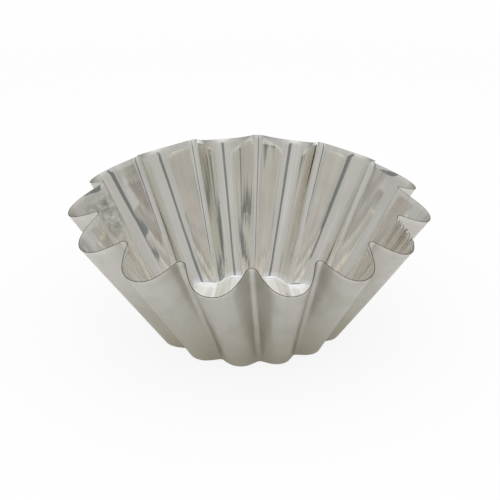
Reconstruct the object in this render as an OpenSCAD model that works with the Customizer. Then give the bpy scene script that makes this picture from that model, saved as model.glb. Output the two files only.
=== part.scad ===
// Fluted brioche tin, pressed in one piece from a round blank of thin tinplate.
// A small flat floor turns up through a tight bend into a flared wall of broad rounded lobes,
// with narrow ridges between them. The rim is the blank's own cut edge, and because each ridge
// takes a shorter way up than a lobe, the rim stands higher at the ridges.
// The tin stands on its floor, with the middle of the rim over the origin.

/* [Flutes] */
// Number of flutes, each one lobe and the ridge beside it
flutes = 14; // [10:1:16]
// Share of a lobe's turn that its flanks take up, as they bow gently out towards the ridges
flank_bow = 0.12; // [0.02:0.01:0.6]
// How far the foot of each flute leans round the tin from its rim, in degrees
lean = 3.7; // [-8:0.1:8]
// How far the rim of the flutes is pushed towards the side where they crowd, in degrees
rim_crowding = 2.9; // [0:0.1:5]
// Side on which the flutes crowd at the rim, in degrees anticlockwise from +X
rim_crowded_side = -38; // [-180:1:180]
// How much closer to that side the crowding at the rim keeps, in degrees
rim_crowding_focus = 0.6; // [0:0.1:1]
// How far the foot of the flutes is pushed towards the side where they crowd, in degrees
floor_crowding = 5; // [0:0.1:6]
// Side on which the flutes crowd at the floor, in degrees anticlockwise from +X
floor_crowded_side = -12; // [-180:1:180]

/* [Rim] */
// Distance from the axis to the outside of a lobe at the rim
rim_lobe_r = 100; // [95:1:115]
// Distance from the axis to the outside of a ridge at the rim
rim_ridge_r = 84; // [78:0.5:90]
// Rounding of a lobe at the rim
rim_lobe_round = 14; // [10:0.1:16]
// Rounding of a ridge at the rim
rim_ridge_round = 3.4; // [1:0.1:4]
// Height of the rim at the middle of a lobe
rim_lobe_h = 68; // [50:1:90]
// How much higher the rim stands at a ridge
rim_ridge_rise = 9.4; // [0:0.2:14]

/* [Floor] */
// Distance from the axis to where a lobe would meet the floor with no bend
floor_lobe_r = 52.5; // [50:0.5:60]
// Distance from the axis to where a ridge would meet the floor with no bend
floor_ridge_r = 47.3; // [43:0.1:50]
// Rounding of a lobe at the floor
floor_lobe_round = 8.4; // [4:0.1:10]
// Rounding of a ridge at the floor
floor_ridge_round = 2.8; // [1:0.1:4]
// Radius of the bend between floor and wall, on the outside
bend_r = 3; // [1:0.1:5]

/* [Sheet] */
// Thickness of the tinplate
sheet_t = 0.4; // [0.3:0.05:0.8]

/* [Hidden] */

// Straight pieces in half a lobe, a flank, half a ridge, the bend and the wall
lobe_steps = 4;
flank_steps = 2;
ridge_steps = 3;
bend_steps = 3;
wall_steps = 3;

// Angle from the middle of a lobe to the middle of the next ridge
half_pitch = 180 / flutes;
// A ridge faces the front
front = -90;

// The plain round middle of the floor, and how far it runs on under the fluted part
core_r = floor_ridge_r - 2 * bend_r;
core_lap = 1;

function along(angle) = [cos(angle), sin(angle)];
function unit(v) = v / norm(v);
function mix(a, b, share) = a * (1 - share) + b * share;
function crowded(angle, push, side, focus) =
    angle - push * sin(angle - side) - focus * sin(2 * (angle - side));

// The largest rounding with which a lobe still meets the ridges beside it
function roomiest_lobe(lobe_r, ridge_r, ridge_round) =
    let (
        ridge_centre_r = ridge_r + ridge_round,
        reach = lobe_r + ridge_round
    )
    lobe_r - (reach * reach - ridge_centre_r * ridge_centre_r)
        / (2 * (reach - ridge_centre_r * cos(half_pitch)));

// Half a flute on the outside of the sheet, from the middle of its lobe to the middle of a ridge:
// an arc of the lobe, a gently rounded flank that touches both arcs, and an arc of the ridge
function half_flute(lobe_r, lobe_round, ridge_r, ridge_round) =
    let (
        lobe_fit = min(lobe_round, roomiest_lobe(lobe_r, ridge_r, ridge_round)),
        lobe_centre = [lobe_r - lobe_fit, 0],
        ridge_centre = (ridge_r + ridge_round) * along(half_pitch),
        gap = ridge_centre - lobe_centre,
        straight = atan2(gap.y, gap.x) - acos(min(1, (lobe_fit + ridge_round) / norm(gap))),
        start = straight * (1 - flank_bow),
        left = gap - lobe_fit * along(start),
        flank_round = (left * left - ridge_round * ridge_round)
            / (2 * (ridge_round - left * along(start))),
        flank_centre = lobe_centre + (lobe_fit - flank_round) * along(start),
        across = (ridge_centre - flank_centre) / (flank_round + ridge_round),
        end = atan2(across.y, across.x)
    )
    concat(
        [for (i = [0 : lobe_steps]) lobe_centre + lobe_fit * along(start * i / lobe_steps)],
        [for (i = [1 : flank_steps])
            flank_centre + flank_round * along(mix(start, end, i / flank_steps))],
        [for (i = [1 : ridge_steps])
            ridge_centre - ridge_round * along(mix(end, half_pitch, i / ridge_steps))]
    );

// A whole flute, anticlockwise from the middle of one ridge to just before the next
function whole_flute(half) =
    let (last = len(half) - 1)
    concat(
        [for (i = [last : -1 : 0]) [half[i].x, -half[i].y]],
        [for (i = [1 : last - 1]) half[i]]
    );

// All the flutes round the tin, turned by an angle and pushed towards their crowded side
function outline(half, turned, push, side, focus = 0) =
    [for (k = [0 : flutes - 1], p = whole_flute(half))
        let (even = front + (2 * k + 1) * half_pitch + atan2(p.y, p.x))
        norm(p) * along(turned + crowded(even, push, side, focus))];

function rim_height(r) =
    rim_lobe_h + rim_ridge_rise * (rim_lobe_r - r) / (rim_lobe_r - rim_ridge_r);

rim_flute = half_flute(rim_lobe_r, rim_lobe_round, rim_ridge_r, rim_ridge_round);
floor_flute = half_flute(floor_lobe_r, floor_lobe_round, floor_ridge_r, floor_ridge_round);

rim = [for (p = outline(rim_flute, 0, rim_crowding, rim_crowded_side, rim_crowding_focus))
    [p.x, p.y, rim_height(norm(p))]];
foot = [for (p = outline(floor_flute, lean, floor_crowding, floor_crowded_side))
    [p.x, p.y, 0]];
stations = len(rim);

// At each station round the tin: the way up the wall, the way out over the floor, the angle
// between them, and the length of the bend's tangents
up_wall = [for (i = [0 : stations - 1]) unit(rim[i] - foot[i])];
out_floor = [for (w = up_wall) unit([w.x, w.y, 0])];
rise = [for (w = up_wall) asin(w.z)];
tangent = [for (angle = rise) bend_r * tan(angle / 2)];

// The outside of the sheet as rings of [point, way towards the rim], from the floor's round
// middle through the bend and up the wall
core_ring = [for (i = [0 : stations - 1])
    let (middle = core_r * along(atan2(foot[i].y, foot[i].x)))
    [[middle.x, middle.y, 0], out_floor[i]]];

function bend_ring(share) = [for (i = [0 : stations - 1])
    let (
        angle = rise[i] * share,
        past = bend_r * sin(angle) - tangent[i],
        way = out_floor[i] * cos(angle) + [0, 0, sin(angle)]
    )
    [foot[i] + out_floor[i] * past + [0, 0, bend_r * (1 - cos(angle))], way]];

function wall_ring(share) = [for (i = [0 : stations - 1])
    [mix(foot[i] + up_wall[i] * tangent[i], rim[i], share), up_wall[i]]];

outside = concat(
    [core_ring],
    [for (i = [0 : bend_steps]) bend_ring(i / bend_steps)],
    [for (i = [1 : wall_steps]) wall_ring(i / wall_steps)]
);

// The inside stands one thickness off each ring, square to the sheet
function inside_ring(ring) = [for (i = [0 : stations - 1])
    let (
        before = ring[(i + stations - 1) % stations][0],
        after = ring[(i + 1) % stations][0]
    )
    ring[i][0] + sheet_t * unit(cross(ring[i][1], after - before))];

// Out over the outside to the rim and back down the inside
sheet_rings = concat(
    [for (ring = outside) [for (place = ring) place[0]]],
    [for (i = [len(outside) - 1 : -1 : 0]) inside_ring(outside[i])]
);

module fluted_sheet() {
    count = len(sheet_rings);
    polyhedron(
        points = [for (ring = sheet_rings) each ring],
        faces = [for (a = [0 : count - 1], i = [0 : stations - 1])
            let (
                b = (a + 1) % count,
                j = (i + 1) % stations
            )
            each [
                [a * stations + i, b * stations + j, a * stations + j],
                [a * stations + i, b * stations + i, b * stations + j]
            ]],
        convexity = 8
    );
}

module tin() {
    color([0.72, 0.71, 0.68])
    union() {
        fluted_sheet();
        cylinder(r = core_r + core_lap, h = sheet_t, $fn = 96);
    }
}

tin();
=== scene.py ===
import math
import bpy
import numpy as np
from mathutils import Euler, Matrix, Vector, noise


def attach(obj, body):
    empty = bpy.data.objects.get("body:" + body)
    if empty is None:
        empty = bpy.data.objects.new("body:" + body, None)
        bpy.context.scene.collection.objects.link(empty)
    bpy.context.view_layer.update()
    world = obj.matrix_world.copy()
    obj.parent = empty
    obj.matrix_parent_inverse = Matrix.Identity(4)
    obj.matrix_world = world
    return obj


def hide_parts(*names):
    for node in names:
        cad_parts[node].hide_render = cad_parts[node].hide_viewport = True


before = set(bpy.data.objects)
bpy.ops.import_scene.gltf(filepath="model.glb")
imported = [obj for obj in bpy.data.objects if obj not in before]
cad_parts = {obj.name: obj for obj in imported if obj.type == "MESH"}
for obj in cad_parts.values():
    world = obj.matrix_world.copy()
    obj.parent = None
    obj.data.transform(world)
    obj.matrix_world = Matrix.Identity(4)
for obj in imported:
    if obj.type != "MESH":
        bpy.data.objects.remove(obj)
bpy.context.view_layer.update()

# The pressed sheet. The real tin is one round blank of thin tinplate, drawn in one stroke between
# a fluted punch and die: a small flat floor, a tight bend, and a flared wall whose broad lobes
# and narrow ridges run straight from the floor to the raw cut edge of the blank.
FLUTES = 14
HALF_PITCH = math.pi / FLUTES
FLANK_BOW = 0.12
LEAN = math.radians(3.7)
RIM_CROWDING = math.radians(2.9)
RIM_CROWDED_SIDE = math.radians(-38)
RIM_CROWDING_FOCUS = math.radians(0.6)
FLOOR_CROWDING = math.radians(5)
FLOOR_CROWDED_SIDE = math.radians(-12)
RIM_LOBE_R = 0.100
RIM_RIDGE_R = 0.084
RIM_LOBE_ROUND = 0.014
RIM_RIDGE_ROUND = 0.0034
RIM_LOBE_H = 0.068
RIM_RIDGE_RISE = 0.0094
FLOOR_LOBE_R = 0.0525
FLOOR_RIDGE_R = 0.0473
FLOOR_LOBE_ROUND = 0.0084
FLOOR_RIDGE_ROUND = 0.0028
BEND_R = 0.003
SHEET = 0.0004
CORE_R = 0.030

# The sheet ripples a very little along the draw, most of all at the rim. A knock has pushed one
# lobe in at the front right and crumpled its rim; places are counted in flutes from the ridge that
# faces the front.
RIPPLE = 0.00012
BROAD_RIPPLES = (9, 9, 2.4)
FINE_RIPPLES = (26, 26, 2.5)
FINE_RIPPLE_SHARE = 0.5
RIM_RIPPLE_SHARE = 0.7
RIPPLE_RUN_IN = 0.1
KNOCKED_FLUTE = 2
DENT_PLACE = 2.60
DENT_SPREAD = 0.15
DENT_DEPTH = 0.0012
DENT_REACH = 0.024
CREASE_PLACE = 2.79
CREASE_SPREAD = 0.12
CREASE_DEPTH = 0.0011
CREASE_GAP = 0.0024
CREASE_REACH = 0.014
CREASE_WANDER = 1.6
WANDER_PACE = 0.31
CREASE_FADE_PACE = 0.37
NICK_DEPTH = 0.0018
NICK_PACE = 0.77

STEPS = {"lobe": 20, "flank": 6, "ridge": 10}
KNOCKED_STEPS = {"lobe": 44, "flank": 50, "ridge": 10}
FLOOR_ROWS = 4
BEND_ROWS = 8
WALL_ROWS = 26
EDGE_ROWS = 4


def along(angle):
    return np.stack([np.cos(angle), np.sin(angle)], axis=-1)


def half_flute(lobe_r, lobe_round, ridge_r, ridge_round, steps):
    """The outside of the sheet from the middle of a lobe to the middle of the ridge beside it: an
    arc of the lobe, a gently rounded flank that touches both arcs, and an arc of the ridge."""
    lobe_centre = np.array([lobe_r - lobe_round, 0.0])
    ridge_centre = (ridge_r + ridge_round) * along(HALF_PITCH)
    gap = ridge_centre - lobe_centre
    reach = math.acos((lobe_round + ridge_round) / np.hypot(*gap))
    start = (math.atan2(gap[1], gap[0]) - reach) * (1 - FLANK_BOW)
    left = gap - lobe_round * along(start)
    flank_round = (left @ left - ridge_round ** 2) / (2 * (ridge_round - left @ along(start)))
    flank_centre = lobe_centre + (lobe_round - flank_round) * along(start)
    across = (ridge_centre - flank_centre) / (flank_round + ridge_round)
    end = math.atan2(across[1], across[0])
    lobe = lobe_centre + lobe_round * along(np.linspace(0, start, steps["lobe"] + 1))
    flank = flank_centre + flank_round * along(np.linspace(start, end, steps["flank"] + 1))
    ridge = ridge_centre - ridge_round * along(np.linspace(end, HALF_PITCH, steps["ridge"] + 1))
    return np.concatenate([lobe, flank[1:], ridge[1:]])


def outline(shape, turned, push, side, focus):
    """All the flutes round the tin, anticlockwise from the ridge that faces the front."""
    places = []
    for flute in range(FLUTES):
        before = half_flute(*shape, STEPS)[::-1] * [1, -1]
        after = half_flute(*shape, KNOCKED_STEPS if flute == KNOCKED_FLUTE else STEPS)
        half = np.concatenate([before, after[1:-1]])
        angle = np.arctan2(half[:, 1], half[:, 0]) - math.pi / 2 + HALF_PITCH * (2 * flute + 1)
        angle = turned + angle - push * np.sin(angle - side) - focus * np.sin(2 * (angle - side))
        places.append(np.hypot(half[:, 0], half[:, 1])[:, None] * along(angle))
    return np.concatenate(places)


def unit(v):
    return v / np.linalg.norm(v, axis=-1, keepdims=True)


def level(xy, z):
    return np.column_stack([xy, np.broadcast_to(z, len(xy))])


rim_xy = outline(
    (RIM_LOBE_R, RIM_LOBE_ROUND, RIM_RIDGE_R, RIM_RIDGE_ROUND),
    0.0, RIM_CROWDING, RIM_CROWDED_SIDE, RIM_CROWDING_FOCUS)
rim_r = np.hypot(rim_xy[:, 0], rim_xy[:, 1])
ridge_share = (RIM_LOBE_R - rim_r) / (RIM_LOBE_R - RIM_RIDGE_R)
rim = level(rim_xy, RIM_LOBE_H + RIM_RIDGE_RISE * ridge_share)
foot = level(outline(
    (FLOOR_LOBE_R, FLOOR_LOBE_ROUND, FLOOR_RIDGE_R, FLOOR_RIDGE_ROUND),
    LEAN, FLOOR_CROWDING, FLOOR_CROWDED_SIDE, 0.0), 0.0)

# Each point's way round the blank, which lies flat as a plain disc before it is drawn
step_length = np.linalg.norm(np.roll(rim, -1, axis=0) - rim, axis=1)
round_length = np.concatenate([[0], np.cumsum(step_length)[:-1]])
blank_way = along(2 * math.pi * round_length / step_length.sum())

# The knock: how strongly each station took it, and the creases and nicks it left
flute_place = (np.arctan2(rim[:, 1], rim[:, 0]) + math.pi / 2) % (2 * math.pi) / (2 * HALF_PITCH)
dented = np.exp(-((flute_place - DENT_PLACE) / DENT_SPREAD) ** 2)
creased = np.exp(-((flute_place - CREASE_PLACE) / CREASE_SPREAD) ** 4)
wave = 2 * math.pi * round_length / CREASE_GAP
crease = creased * np.sin(wave + CREASE_WANDER * np.sin(wave * WANDER_PACE))
crease = crease * (0.5 + 0.5 * np.sin(wave * CREASE_FADE_PACE + 1))
nick = NICK_DEPTH * creased * (0.5 - 0.5 * np.sin(wave * NICK_PACE)) ** 2
stations = len(rim)

UP = np.array([0.0, 0.0, 1.0])
up_wall = unit(rim - foot)
rim = rim - up_wall * nick[:, None]
out_floor = unit(up_wall * [1, 1, 0])
rise = np.arcsin(up_wall[:, 2:])
tangent = BEND_R * np.tan(rise / 2)


def square_to(ring, way):
    """Unit vectors that point out of the sheet's inside face."""
    return unit(np.cross(way, np.roll(ring, -1, axis=0) - np.roll(ring, 1, axis=0)))


def out_of_true(share):
    """How far the real sheet stands inwards of its drawn form, at one height of the wall."""
    down = (1 - share) * RIM_LOBE_H
    places = [Vector((x, y, share)) for x, y in blank_way]
    broad = np.array([noise.noise(place * Vector(BROAD_RIPPLES)) for place in places])
    fine = np.array([noise.noise(place * Vector(FINE_RIPPLES)) for place in places])
    growth = (1 - RIM_RIPPLE_SHARE + RIM_RIPPLE_SHARE * share) * min(1, share / RIPPLE_RUN_IN)
    ripple = RIPPLE * (broad + FINE_RIPPLE_SHARE * fine) * growth
    dent = DENT_DEPTH * dented * math.exp(-(down / DENT_REACH) ** 2)
    creases = CREASE_DEPTH * crease * math.exp(-(down / CREASE_REACH) ** 1.5)
    return (ripple + dent + creases)[:, None]


rows = []
core = level(CORE_R * along(np.arctan2(foot[:, 1], foot[:, 0])), 0.0)
bend_start = foot - out_floor * tangent
for share in np.linspace(0, 1, FLOOR_ROWS + 1)[:-1]:
    rows.append((core * (1 - share) + bend_start * share, out_floor, 0.0))
for share in np.linspace(0, 1, BEND_ROWS + 1):
    angle = rise * share
    ring = foot + out_floor * (BEND_R * np.sin(angle) - tangent) + UP * BEND_R * (1 - np.cos(angle))
    rows.append((ring, out_floor * np.cos(angle) + UP * np.sin(angle), 0.0))
for share in np.linspace(0, 1, WALL_ROWS + 1)[1:]:
    rows.append(((foot + up_wall * tangent) * (1 - share) + rim * share, up_wall, share))

outer_rings, inner_rings, shares = [], [], []
for ring, way, share in rows:
    square = square_to(ring, way)
    ring = ring + out_of_true(share) * square
    outer_rings.append(ring)
    inner_rings.append(ring + SHEET * square)
    shares.append(share)

# The cut edge is very slightly rounded by the trimming die
edge_rings = []
edge_way = unit(inner_rings[-1] - outer_rings[-1])
for step in range(1, EDGE_ROWS):
    swing = math.pi * step / EDGE_ROWS
    middle = (outer_rings[-1] + inner_rings[-1]) / 2
    edge_rings.append(middle - edge_way * (SHEET / 2) * math.cos(swing)
                      + up_wall * (SHEET / 4) * math.sin(swing))

# One closed skin: out over the outside, over the cut edge and back down the inside. Each row of
# faces, wound so that it faces out of the metal, takes one of the three finishes below.
INSIDE_FACE, OUTSIDE_FACE, EDGE_FACE = 0, 1, 2
rings = outer_rings + edge_rings + inner_rings[::-1]
ring_shares = shares + [1.0] * len(edge_rings) + shares[::-1]
face_kind = ([OUTSIDE_FACE] * (len(outer_rings) - 1) + [EDGE_FACE] * (len(edge_rings) + 1)
             + [INSIDE_FACE] * (len(inner_rings) - 1))

points = np.concatenate(rings)
ring_starts = np.arange(len(rings) - 1)[:, None] * stations
here = np.arange(stations)[None, :]
after = (here + 1) % stations
quads = np.stack([ring_starts + here, ring_starts + after,
                  ring_starts + stations + after, ring_starts + stations + here], axis=-1)
faces = quads.reshape(-1, 4).tolist()
kinds = np.repeat(face_kind, stations).tolist()
last = (len(rings) - 1) * stations
faces.append(list(reversed(range(stations))))
faces.append([last + i for i in range(stations)])
kinds += [OUTSIDE_FACE, INSIDE_FACE]

tin_mesh = bpy.data.meshes.new("tin_sheet")
tin_mesh.from_pydata(points.tolist(), [], faces)
tin_mesh.polygons.foreach_set("material_index", kinds)
tin_mesh.shade_smooth()
pressed = tin_mesh.attributes.new("pressed", "FLOAT_VECTOR", "POINT")
pressed.data.foreach_set("vector", np.concatenate(
    [level(blank_way, share) for share in ring_shares]).ravel())
crest = tin_mesh.attributes.new("crest", "FLOAT", "POINT")
crest.data.foreach_set("value", np.tile(ridge_share, len(rings)))
tin_mesh.update()
tin = bpy.data.objects.new("tin_sheet", tin_mesh)
bpy.context.collection.objects.link(tin)
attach(tin, "root")
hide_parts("tin")

# The bright inside face. Drawing pulls the tin coating up the wall in fine straight lines, and use
# leaves a thin warm film in bands and patches, with a few hairline scratches and one dark stain. The
# colour is painted darker in the valleys of the lobes and lighter on the flanks and ridges, as painted
# shade and painted light; along the draw lines it is lighter, partly burnished and partly painted
# sheen; and the floor is painted near white, as painted light from overhead.
INSIDE_VALLEY_SHADE = (0.765, 0.750, 0.702)
INSIDE_FLANK_LIT = (0.868, 0.852, 0.806)
INSIDE_WARM_FILM = (0.735, 0.675, 0.615)
INSIDE_OLIVE_FILM = (0.65, 0.645, 0.56)
INSIDE_RUB_AND_SHEEN = (0.90, 0.893, 0.865)
INSIDE_FLOOR_LIT = (0.915, 0.918, 0.92)
INSIDE_SCRATCH = (0.84, 0.83, 0.80)
INSIDE_STAIN = (0.40, 0.41, 0.34)
STAIN_PLACE = (-0.083, 0.016, 0.058)
STAIN_REACH = 0.021
WARM_FILM_SHARE = 0.4
OLIVE_FILM_SHARE = 0.3
RUB_AND_SHEEN_SHARE = 0.55
STAIN_SHARE = 0.8
SCRATCH_SHARE = 0.6
INSIDE_ROUGH = 0.03
FILM_DULLED = 0.03
SCRATCH_DULLED = 0.15
FLOOR_DULLED = 0.05
DRAW_LINE_RELIEF = 0.35
SCRATCH_RELIEF = -0.4
INSIDE_RELIEF = 0.00006


def place(tree, kind, inputs=None, **settings):
    """Add a shader node, and set or wire the inputs that are named."""
    made = tree.nodes.new("ShaderNode" + kind)
    for name, value in settings.items():
        setattr(made, name, value)
    for name, value in (inputs or {}).items():
        if isinstance(value, bpy.types.NodeSocket):
            tree.links.new(value, made.inputs[name])
        else:
            made.inputs[name].default_value = value
    return made


def calc(tree, operation, a, b=0.0, c=0.0):
    return place(tree, "Math", {0: a, 1: b, 2: c}, operation=operation).outputs[0]


def ease(tree, value, low, high):
    """0 below low, 1 above high, with a smooth step between them."""
    step = place(tree, "MapRange", {"Value": value, "From Min": low, "From Max": high},
                 interpolation_type="SMOOTHSTEP")
    return step.outputs["Result"]


def tone(tree, share, first, second):
    """A colour that goes from the first to the second as the share goes from 0 to 1."""
    ends = [end if isinstance(end, bpy.types.NodeSocket) else (*end, 1) for end in (first, second)]
    return place(tree, "Mix", {0: share, 6: ends[0], 7: ends[1]}, data_type="RGBA").outputs[2]


def effect(name, takes, gives):
    """An empty node group with number sockets, and its inside ends."""
    group = bpy.data.node_groups.new(name, "ShaderNodeTree")
    for socket, value in takes.items():
        made = group.interface.new_socket(socket, in_out="INPUT", socket_type="NodeSocketFloat")
        made.default_value = value
    for socket in gives:
        group.interface.new_socket(socket, in_out="OUTPUT", socket_type="NodeSocketFloat")
    return group, group.nodes.new("NodeGroupInput").outputs, group.nodes.new("NodeGroupOutput")


def metal(name):
    """A new bare metal, with its node tree and its shader."""
    made = bpy.data.materials.new(name)
    made.use_nodes = True
    shader = made.node_tree.nodes["Principled BSDF"]
    shader.inputs["Metallic"].default_value = 1
    return made, made.node_tree, shader


def use(tree, group, inputs):
    """Place a shared effect with its own values, and give its outputs."""
    made = tree.nodes.new("ShaderNodeGroup")
    made.node_tree = group
    for name, value in inputs.items():
        made.inputs[name].default_value = value
    return made.outputs


# Lines drawn up the wall, laid out on the flat blank: they run with the sheet round each flute.
# The floor is pressed flat without a draw, so they die out there.
LINES_RUN_IN = 0.06
draw_lines, takes, gives = effect(
    "draw_lines", {"Across": 60.0, "Along": 1.5, "Start": 0.0, "Sharpness": 0.5},
    ["Lines", "Bands", "Ripples", "Height"])
blank = place(draw_lines, "Attribute", attribute_name="pressed")
parts = place(draw_lines, "SeparateXYZ", {0: blank.outputs["Vector"]}).outputs
streak_place = place(draw_lines, "CombineXYZ", {
    "X": calc(draw_lines, "MULTIPLY", parts["X"], takes["Across"]),
    "Y": calc(draw_lines, "MULTIPLY", parts["Y"], takes["Across"]),
    "Z": calc(draw_lines, "MULTIPLY_ADD", parts["Z"], takes["Along"], takes["Start"])}).outputs[0]
fine = place(draw_lines, "TexNoise", {
    "Vector": streak_place, "Scale": 1.0, "Detail": 4.0, "Roughness": takes["Sharpness"]})
broad = place(draw_lines, "TexNoise", {
    "Vector": streak_place, "Scale": 0.22, "Detail": 1.0, "Roughness": 0.5})
uneven = place(draw_lines, "TexNoise", {
    "Vector": streak_place, "Scale": 0.42, "Detail": 1.0, "Roughness": 0.4})
drawn = ease(draw_lines, parts["Z"], 0.0, LINES_RUN_IN)
fine_off = calc(draw_lines, "SUBTRACT", fine.outputs["Fac"], 0.5)
bands = calc(draw_lines, "MULTIPLY", ease(draw_lines, broad.outputs["Fac"], 0.35, 0.65), drawn)
draw_lines.links.new(calc(draw_lines, "MULTIPLY_ADD", fine_off, drawn, 0.5), gives.inputs["Lines"])
draw_lines.links.new(bands, gives.inputs["Bands"])
uneven_off = calc(draw_lines, "SUBTRACT", uneven.outputs["Fac"], 0.5)
draw_lines.links.new(calc(draw_lines, "MULTIPLY", uneven_off, drawn), gives.inputs["Ripples"])
draw_lines.links.new(parts["Z"], gives.inputs["Height"])

# Wear: soft patches of film, and hairline scratches that wander along the draw on the wall and
# every way on the floor
HAIR_ACROSS = 9.0
HAIR_ALONG = 0.9
FLOOR_HAIR = 70.0
WALL_HAIR_FROM = 0.03
wear, takes, gives = effect(
    "wear", {"Patch size": 0.02, "Scratch start": 0.0, "Scratch width": 0.004},
    ["Patches", "Mottle", "Scratches"])
where = place(wear, "TexCoord").outputs["Object"]
patch_place = place(wear, "VectorMath", {
    0: where, "Scale": calc(wear, "DIVIDE", 1.0, takes["Patch size"])}, operation="SCALE").outputs[0]
patches = place(wear, "TexNoise", {"Vector": patch_place, "Scale": 1.0, "Detail": 3.0})
mottle = place(wear, "TexNoise", {"Vector": patch_place, "Scale": 9.0, "Detail": 3.0, "Roughness": 0.6})
blank = place(wear, "Attribute", attribute_name="pressed")
parts = place(wear, "SeparateXYZ", {0: blank.outputs["Vector"]}).outputs
hair_place = place(wear, "CombineXYZ", {
    "X": calc(wear, "MULTIPLY_ADD", parts["X"], HAIR_ACROSS, parts["Z"]),
    "Y": calc(wear, "MULTIPLY", parts["Y"], HAIR_ACROSS),
    "Z": calc(wear, "MULTIPLY_ADD", parts["Z"], HAIR_ALONG, takes["Scratch start"])}).outputs[0]
floor_hair_place = place(wear, "VectorMath", {0: where, "Scale": FLOOR_HAIR},
                         operation="SCALE").outputs[0]
hair_place = place(wear, "Mix", {
    "Factor": ease(wear, parts["Z"], 0.0, WALL_HAIR_FROM), 4: floor_hair_place, 5: hair_place},
    data_type="VECTOR").outputs[1]
hair = place(wear, "TexNoise", {"Vector": hair_place, "Scale": 1.0, "Detail": 0.0}).outputs["Fac"]
hair_off = calc(wear, "ABSOLUTE", calc(wear, "SUBTRACT", hair, 0.5))
hair_line = calc(wear, "SUBTRACT", 1.0, ease(wear, calc(
    wear, "DIVIDE", hair_off, takes["Scratch width"]), 0.3, 1.0))
hair_gaps = place(wear, "TexNoise", {"Vector": hair_place, "Scale": 3.1, "Detail": 1.0}).outputs["Fac"]
wear.links.new(ease(wear, patches.outputs["Fac"], 0.42, 0.66), gives.inputs["Patches"])
wear.links.new(mottle.outputs["Fac"], gives.inputs["Mottle"])
wear.links.new(calc(wear, "MULTIPLY", hair_line, ease(wear, hair_gaps, 0.48, 0.60)),
               gives.inputs["Scratches"])

inside, tree, shader = metal("tin_inside")
lines = use(tree, draw_lines, {"Across": 85.0, "Along": 1.2, "Start": 3.0, "Sharpness": 0.7})
worn = use(tree, wear, {"Patch size": 0.026, "Scratch start": 2.0, "Scratch width": 0.0035})
flat = ease(tree, lines["Height"], 0.04, 0.0)
crest_share = place(tree, "Attribute", attribute_name="crest").outputs["Fac"]
# Painted shade and light: darker in the valleys of the lobes, lighter towards the flanks and ridges
colour = tone(tree, ease(tree, crest_share, 0.15, 0.5), INSIDE_VALLEY_SHADE, INSIDE_FLANK_LIT)
colour = tone(tree, calc(tree, "MULTIPLY", lines["Bands"], WARM_FILM_SHARE), colour, INSIDE_WARM_FILM)
olive = calc(tree, "MULTIPLY", worn["Patches"], OLIVE_FILM_SHARE)
colour = tone(tree, olive, colour, INSIDE_OLIVE_FILM)
# Lighter along the draw lines: partly burnished metal, partly painted sheen streaks
rub_and_sheen = calc(tree, "MULTIPLY", ease(tree, lines["Lines"], 0.52, 0.63), RUB_AND_SHEEN_SHARE)
colour = tone(tree, rub_and_sheen, colour, INSIDE_RUB_AND_SHEEN)
# Painted light: the floor of the tin is painted near white, for the light it catches from overhead
colour = tone(tree, flat, colour, INSIDE_FLOOR_LIT)
from_stain = place(tree, "VectorMath", {
    0: place(tree, "TexCoord").outputs["Object"], 1: STAIN_PLACE}, operation="DISTANCE").outputs["Value"]
stain = calc(tree, "MULTIPLY", ease(tree, from_stain, STAIN_REACH, 0.3 * STAIN_REACH),
             ease(tree, worn["Mottle"], 0.3, 0.65))
colour = tone(tree, calc(tree, "MULTIPLY", stain, STAIN_SHARE), colour, INSIDE_STAIN)
scratched = calc(tree, "MULTIPLY", worn["Scratches"], SCRATCH_SHARE)
colour = tone(tree, scratched, colour, INSIDE_SCRATCH)
tree.links.new(colour, shader.inputs["Base Color"])
dull = calc(tree, "MULTIPLY_ADD", worn["Mottle"], FILM_DULLED, INSIDE_ROUGH)
dull = calc(tree, "MULTIPLY_ADD", worn["Patches"], FILM_DULLED, dull)
dull = calc(tree, "MULTIPLY_ADD", worn["Scratches"], SCRATCH_DULLED, dull)
dull = calc(tree, "MULTIPLY_ADD", flat, FLOOR_DULLED, dull)
tree.links.new(dull, shader.inputs["Roughness"])
height = calc(tree, "MULTIPLY_ADD", lines["Lines"], DRAW_LINE_RELIEF, lines["Ripples"])
height = calc(tree, "MULTIPLY_ADD", worn["Scratches"], SCRATCH_RELIEF, height)
relief = place(tree, "Bump", {"Height": height, "Strength": 1.0, "Distance": INSIDE_RELIEF})
tree.links.new(relief.outputs[0], shader.inputs["Normal"])
tin_mesh.materials.append(inside)

# The outside face lay against the die with less pull, so it is satin with a faint mottle. The oven
# and the baking sheets have dulled it. Its colour is painted darker and more olive towards the foot,
# a painted shade of the shadowed table that the wall mirrors.
OUTSIDE_TOP = (0.622, 0.607, 0.563)
OUTSIDE_FOOT_SHADED = (0.55, 0.523, 0.43)
OUTSIDE_FILM = (0.48, 0.455, 0.39)
OUTSIDE_RUB = (0.66, 0.65, 0.62)
OUTSIDE_PATCH_SHARE = 0.36
OUTSIDE_BAND_SHARE = 0.18
OUTSIDE_RUB_SHARE = 0.5
OUTSIDE_ROUGH = 0.27
OUTSIDE_MOTTLE_DULLED = 0.10
OUTSIDE_FILM_DULLED = 0.05
OUTSIDE_MOTTLE_RELIEF = 0.35
OUTSIDE_RELIEF = 0.00004
outside, tree, shader = metal("tin_outside")
lines = use(tree, draw_lines, {"Across": 55.0, "Along": 1.6, "Start": 11.0, "Sharpness": 0.55})
worn = use(tree, wear, {"Patch size": 0.018, "Scratch start": 7.0, "Scratch width": 0.003})
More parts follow.
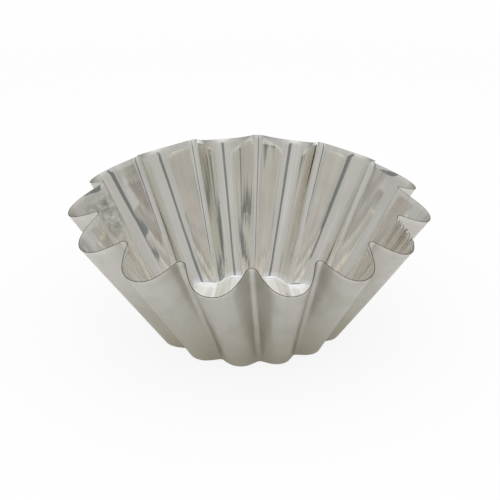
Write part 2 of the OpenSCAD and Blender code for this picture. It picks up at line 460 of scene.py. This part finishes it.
# Painted shade: darker and more olive towards the foot, for the shadowed table that the wall mirrors
colour = tone(tree, ease(tree, lines["Height"], 0.75, -0.05), OUTSIDE_TOP, OUTSIDE_FOOT_SHADED)
film = calc(tree, "MULTIPLY", lines["Bands"], OUTSIDE_BAND_SHARE)
film = calc(tree, "MULTIPLY_ADD", worn["Patches"], OUTSIDE_PATCH_SHARE, film)
colour = tone(tree, film, colour, OUTSIDE_FILM)
rub_and_sheen = calc(tree, "MULTIPLY", worn["Scratches"], OUTSIDE_RUB_SHARE)
colour = tone(tree, rub_and_sheen, colour, OUTSIDE_RUB)
tree.links.new(colour, shader.inputs["Base Color"])
dull = calc(tree, "MULTIPLY_ADD", worn["Mottle"], OUTSIDE_MOTTLE_DULLED, OUTSIDE_ROUGH)
dull = calc(tree, "MULTIPLY_ADD", worn["Patches"], OUTSIDE_FILM_DULLED, dull)
tree.links.new(dull, shader.inputs["Roughness"])
height = calc(tree, "MULTIPLY_ADD", worn["Mottle"], OUTSIDE_MOTTLE_RELIEF, lines["Lines"])
relief = place(tree, "Bump", {"Height": height, "Strength": 1.0, "Distance": OUTSIDE_RELIEF})
tree.links.new(relief.outputs[0], shader.inputs["Normal"])
tin_mesh.materials.append(outside)

# The raw cut edge. Trimming bares the steel between the two tin faces, and it has greyed and
# browned, with a brighter glint where handling has rubbed it.
EDGE_STEEL = (0.12, 0.115, 0.10)
EDGE_RUST = (0.085, 0.06, 0.04)
EDGE_RUBBED = (0.30, 0.29, 0.27)
EDGE_RUST_SHARE = 0.7
EDGE_ROUGH = 0.36
EDGE_MOTTLE_DULLED = 0.2
cut_edge, tree, shader = metal("cut_edge")
worn = use(tree, wear, {"Patch size": 0.009, "Scratch start": 4.0, "Scratch width": 0.01})
colour = tone(tree, calc(tree, "MULTIPLY", worn["Patches"], EDGE_RUST_SHARE), EDGE_STEEL, EDGE_RUST)
colour = tone(tree, ease(tree, worn["Mottle"], 0.55, 0.72), colour, EDGE_RUBBED)
tree.links.new(colour, shader.inputs["Base Color"])
dull = calc(tree, "MULTIPLY_ADD", worn["Mottle"], EDGE_MOTTLE_DULLED, EDGE_ROUGH)
tree.links.new(dull, shader.inputs["Roughness"])
tin_mesh.materials.append(cut_edge)

# The studio. A white table that runs out of sight under one plain soft dome, painted grey away from
# the tin as a painted shade. The camera sees it white; the metal mirrors it greyer, as a room round a
# light table is: palest overhead, dimmer behind, and with the narrow dark shape of the camera and its
# stand in front.
CAMERA_TURN = math.radians(1.976)
CAMERA_RISE = math.radians(27.332)
CAMERA_ROLL = math.radians(-0.216)
CAMERA_PLACE = (0.03597, -1.02776, 0.57639)
CAMERA_LENS = 149.5
CAMERA_FILM = 36
CAMERA_SIGHT = 50
TABLE = 6.0
TABLE_WHITE = 0.9
TABLE_FAR_SHADE = 0.55
TABLE_NEAR = 0.22
TABLE_FAR = 0.60
TABLE_GLOW_NEAR = 0.86
TABLE_GLOW_MIRRORED = 0.12
SOFT_LIGHT = 1.1
DOME_LEVELS = {0: 0.535, 20: 0.565, 35: 0.62, 55: 0.705, 68: 0.86, 77: 1.04, 90: 1.0}
STAND_TURN = CAMERA_TURN + math.radians(10)
STAND_HALF_LOW = math.radians(9)
STAND_HALF_HIGH = math.radians(10)
STAND_TOP = 0.82
STAND_TOP_FADE = 0.08
STAND_SOFT = math.radians(2.5)
STAND_LEVEL = 0.42
STAND_TINT = (0.93, 1.0, 1.02)
BACK_SHADE = 0.28
BACK_FULL = 0.85

table_mesh = bpy.data.meshes.new("table")
corners = [(-TABLE, -TABLE, 0), (TABLE, -TABLE, 0), (TABLE, TABLE, 0), (-TABLE, TABLE, 0)]
table_mesh.from_pydata(corners, [], [(0, 1, 2, 3)])
table = bpy.data.objects.new("table", table_mesh)
bpy.context.collection.objects.link(table)


def rays(tree):
    """Whether a ray comes straight from the camera, and whether it is mirrored or seen through."""
    path = place(tree, "LightPath").outputs
    mirrored = calc(tree, "ADD", path["Is Glossy Ray"], path["Is Transmission Ray"])
    return path["Is Camera Ray"], mirrored


table_white = bpy.data.materials.new("table_white")
table_white.use_nodes = True
tree = table_white.node_tree
tree.nodes.clear()
from_tin = place(tree, "VectorMath", {0: place(tree, "TexCoord").outputs["Object"]},
                 operation="LENGTH").outputs["Value"]
# Painted shade: the table's colour greys away from the tin, so the metal mirrors it darker far out
far = ease(tree, from_tin, TABLE_NEAR, TABLE_FAR)
white_to_shade = tone(tree, far, (TABLE_WHITE,) * 3, (TABLE_FAR_SHADE,) * 3)
lit = place(tree, "BsdfDiffuse", {"Color": white_to_shade})
glow = place(tree, "Emission", {"Strength": 1.0})
seen = place(tree, "MapRange", {"Value": far, "To Min": TABLE_GLOW_NEAR, "To Max": 1.0}).outputs[0]
direct, mirrored = rays(tree)
share = calc(tree, "MULTIPLY_ADD", mirrored, TABLE_GLOW_MIRRORED,
             calc(tree, "MULTIPLY", direct, seen))
blend = place(tree, "MixShader", {0: share, 1: lit.outputs[0], 2: glow.outputs[0]})
place(tree, "OutputMaterial", {"Surface": blend.outputs[0]})
table_mesh.materials.append(table_white)

studio = bpy.data.worlds.new("studio")
studio.use_nodes = True
bpy.context.scene.world = studio
tree = studio.node_tree
tree.nodes.clear()
way = place(tree, "SeparateXYZ", {0: place(tree, "TexCoord").outputs["Generated"]}).outputs
dome = place(tree, "ValToRGB", {"Fac": way["Z"]})
ramp = dome.color_ramp.elements
ramp.remove(ramp[1])
for number, (rise_deg, bright) in enumerate(DOME_LEVELS.items()):
    stop = ramp[0] if number == 0 else ramp.new(math.sin(math.radians(rise_deg)))
    stop.position = math.sin(math.radians(rise_deg))
    stop.color = (bright, bright, bright, 1)
dome_level = place(tree, "RGBToBW", {0: dome.outputs["Color"]}).outputs[0]
turn = calc(tree, "ARCTAN2", way["X"], calc(tree, "MULTIPLY", way["Y"], -1.0))
off = calc(tree, "ABSOLUTE", calc(tree, "SUBTRACT", turn, STAND_TURN))
half = place(tree, "MapRange", {"Value": way["Z"], "From Max": STAND_TOP, "To Min": STAND_HALF_LOW,
                                "To Max": STAND_HALF_HIGH}).outputs[0]
clear = ease(tree, calc(tree, "SUBTRACT", off, half), -STAND_SOFT, STAND_SOFT)
clear = calc(tree, "MAXIMUM", clear, ease(tree, way["Z"], STAND_TOP, STAND_TOP + STAND_TOP_FADE))
seen = calc(tree, "MULTIPLY_ADD", clear, 1.0 - STAND_LEVEL, STAND_LEVEL)
behind = calc(tree, "MULTIPLY", ease(tree, way["Y"], 0.0, BACK_FULL), -BACK_SHADE)
seen = calc(tree, "MULTIPLY_ADD", seen, behind, seen)
mirror_level = calc(tree, "MULTIPLY", dome_level, seen)
direct, mirrored = rays(tree)
other = calc(tree, "SUBTRACT", 1.0, calc(tree, "ADD", mirrored, direct))
strength = calc(tree, "MULTIPLY_ADD", mirror_level, mirrored, direct)
strength = calc(tree, "MULTIPLY_ADD", other, SOFT_LIGHT, strength)
tint = tone(tree, calc(tree, "MAXIMUM", clear, calc(tree, "SUBTRACT", 1.0, mirrored)),
            STAND_TINT, (1, 1, 1))
back = place(tree, "Background", {"Color": tint, "Strength": strength})
place(tree, "OutputWorld", {"Surface": back.outputs[0]})

lens = bpy.data.cameras.new("camera")
lens.sensor_width = CAMERA_FILM
lens.lens = CAMERA_LENS
lens.clip_end = CAMERA_SIGHT
camera = bpy.data.objects.new("camera", lens)
camera.location = CAMERA_PLACE
turned = Euler((math.pi / 2 - CAMERA_RISE, 0, CAMERA_TURN)).to_matrix()
camera.rotation_euler = (turned @ Euler((0, 0, CAMERA_ROLL)).to_matrix()).to_euler()
bpy.context.collection.objects.link(camera)
bpy.context.scene.camera = camera
bpy.context.scene.view_settings.view_transform = "Standard"
